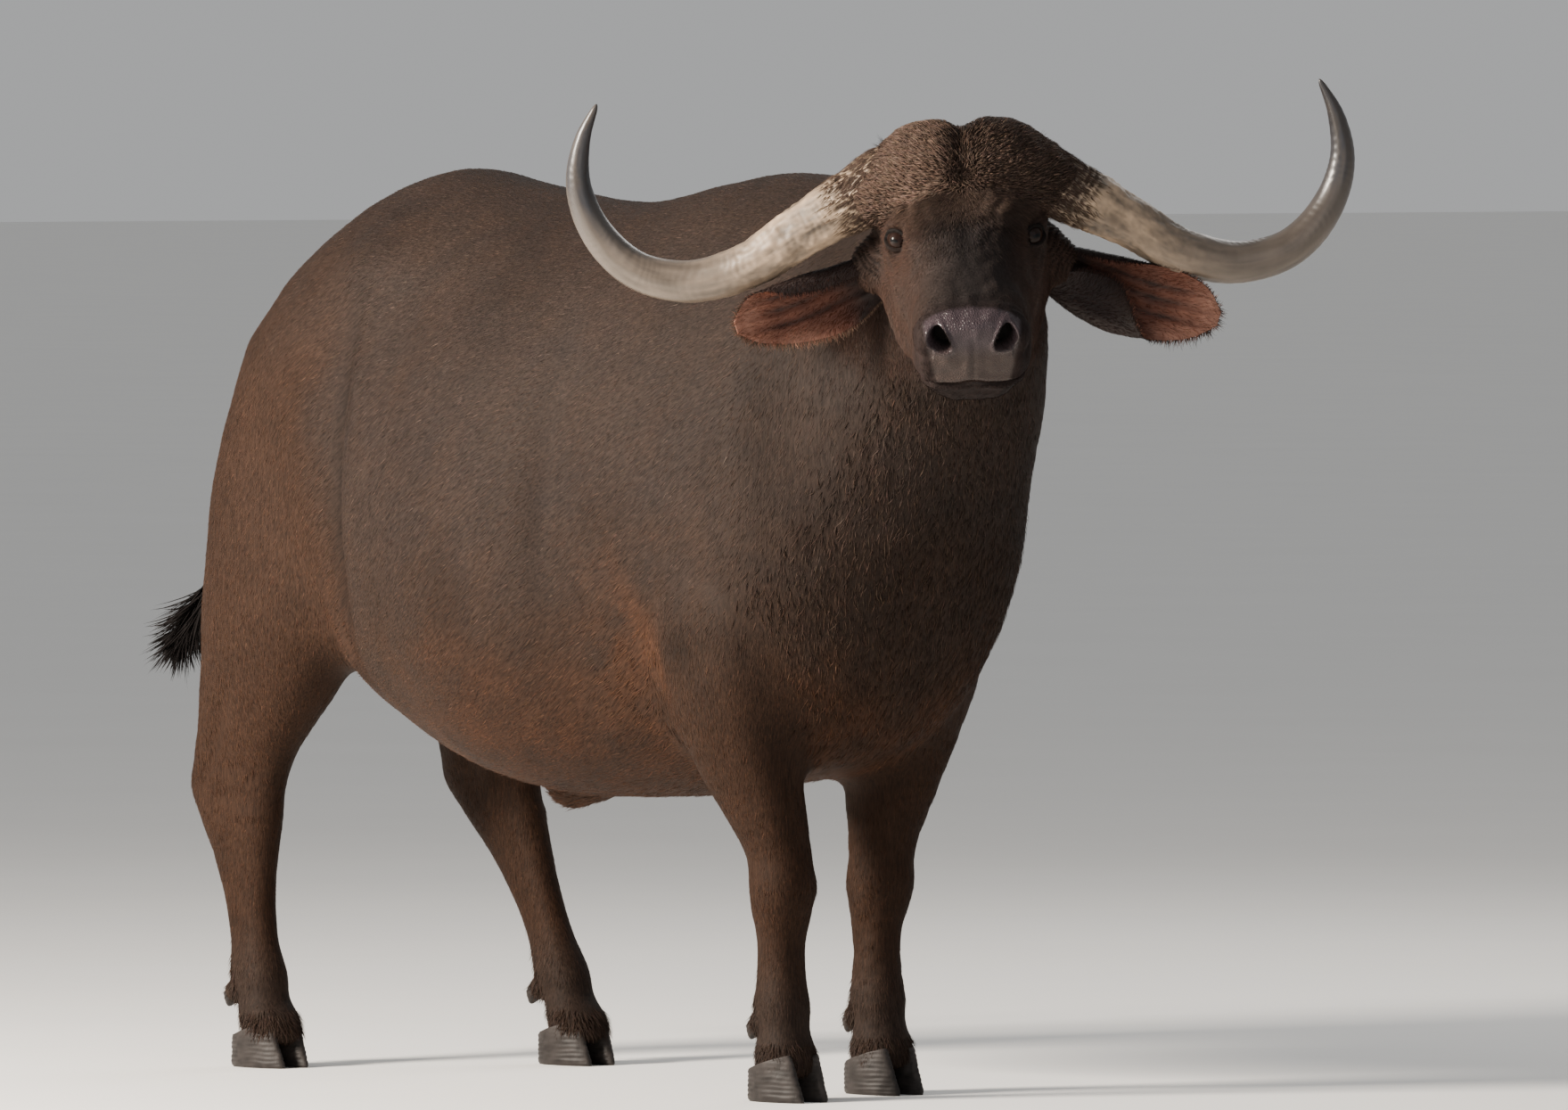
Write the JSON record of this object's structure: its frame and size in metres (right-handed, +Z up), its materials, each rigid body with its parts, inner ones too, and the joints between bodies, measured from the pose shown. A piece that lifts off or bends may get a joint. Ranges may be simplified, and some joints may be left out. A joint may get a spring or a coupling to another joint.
{
  "type": "life-size african buffalo model",
  "caption": "Life-size model of a young African buffalo bull that stands still and looks to its right, with horns swept wide.",
  "frame": {"origin": "on the floor, under the middle of the whole model's bounding box", "axes": "+X from rump to chest, +Y to the animal's left, +Z up"},
  "size_m": [2.3606, 0.9634, 1.5716],
  "materials": {
    "hide": "short dark red-brown coat",
    "face": "dark brown coat with shaggy brow, wet nose",
    "ear": "dark back, reddish haired inside",
    "tuft": "coarse black hair",
    "horn": "ridged keratin, smooth and dark to the tips",
    "hoof": "worn dark keratin",
    "eye": "wet dark brown"
  },
  "bodies": {
    "root": {"torso": "hide", "neck": "hide", "sheath": "hide", "tail": "hide", "leg_fore_right": "hide", "claw_fore_right_right": "hoof", "dew_claw_fore_right_right": "hoof", "claw_fore_right_left": "hoof", "dew_claw_fore_right_left": "hoof", "leg_fore_left": "hide", "claw_fore_left_right": "hoof", "dew_claw_fore_left_right": "hoof", "claw_fore_left_left": "hoof", "dew_claw_fore_left_left": "hoof", "leg_hind_right": "hide", "claw_hind_right_right": "hoof", "dew_claw_hind_right_right": "hoof", "claw_hind_right_left": "hoof", "dew_claw_hind_right_left": "hoof", "leg_hind_left": "hide", "claw_hind_left_right": "hoof", "dew_claw_hind_left_right": "hoof", "claw_hind_left_left": "hoof", "dew_claw_hind_left_left": "hoof", "head": "face", "ear_right": "ear", "eye_right": "eye", "horn_right": "horn", "ear_left": "ear", "eye_left": "eye", "horn_left": "horn", "tail_tuft": "tuft"}
  },
  "joints": []
}
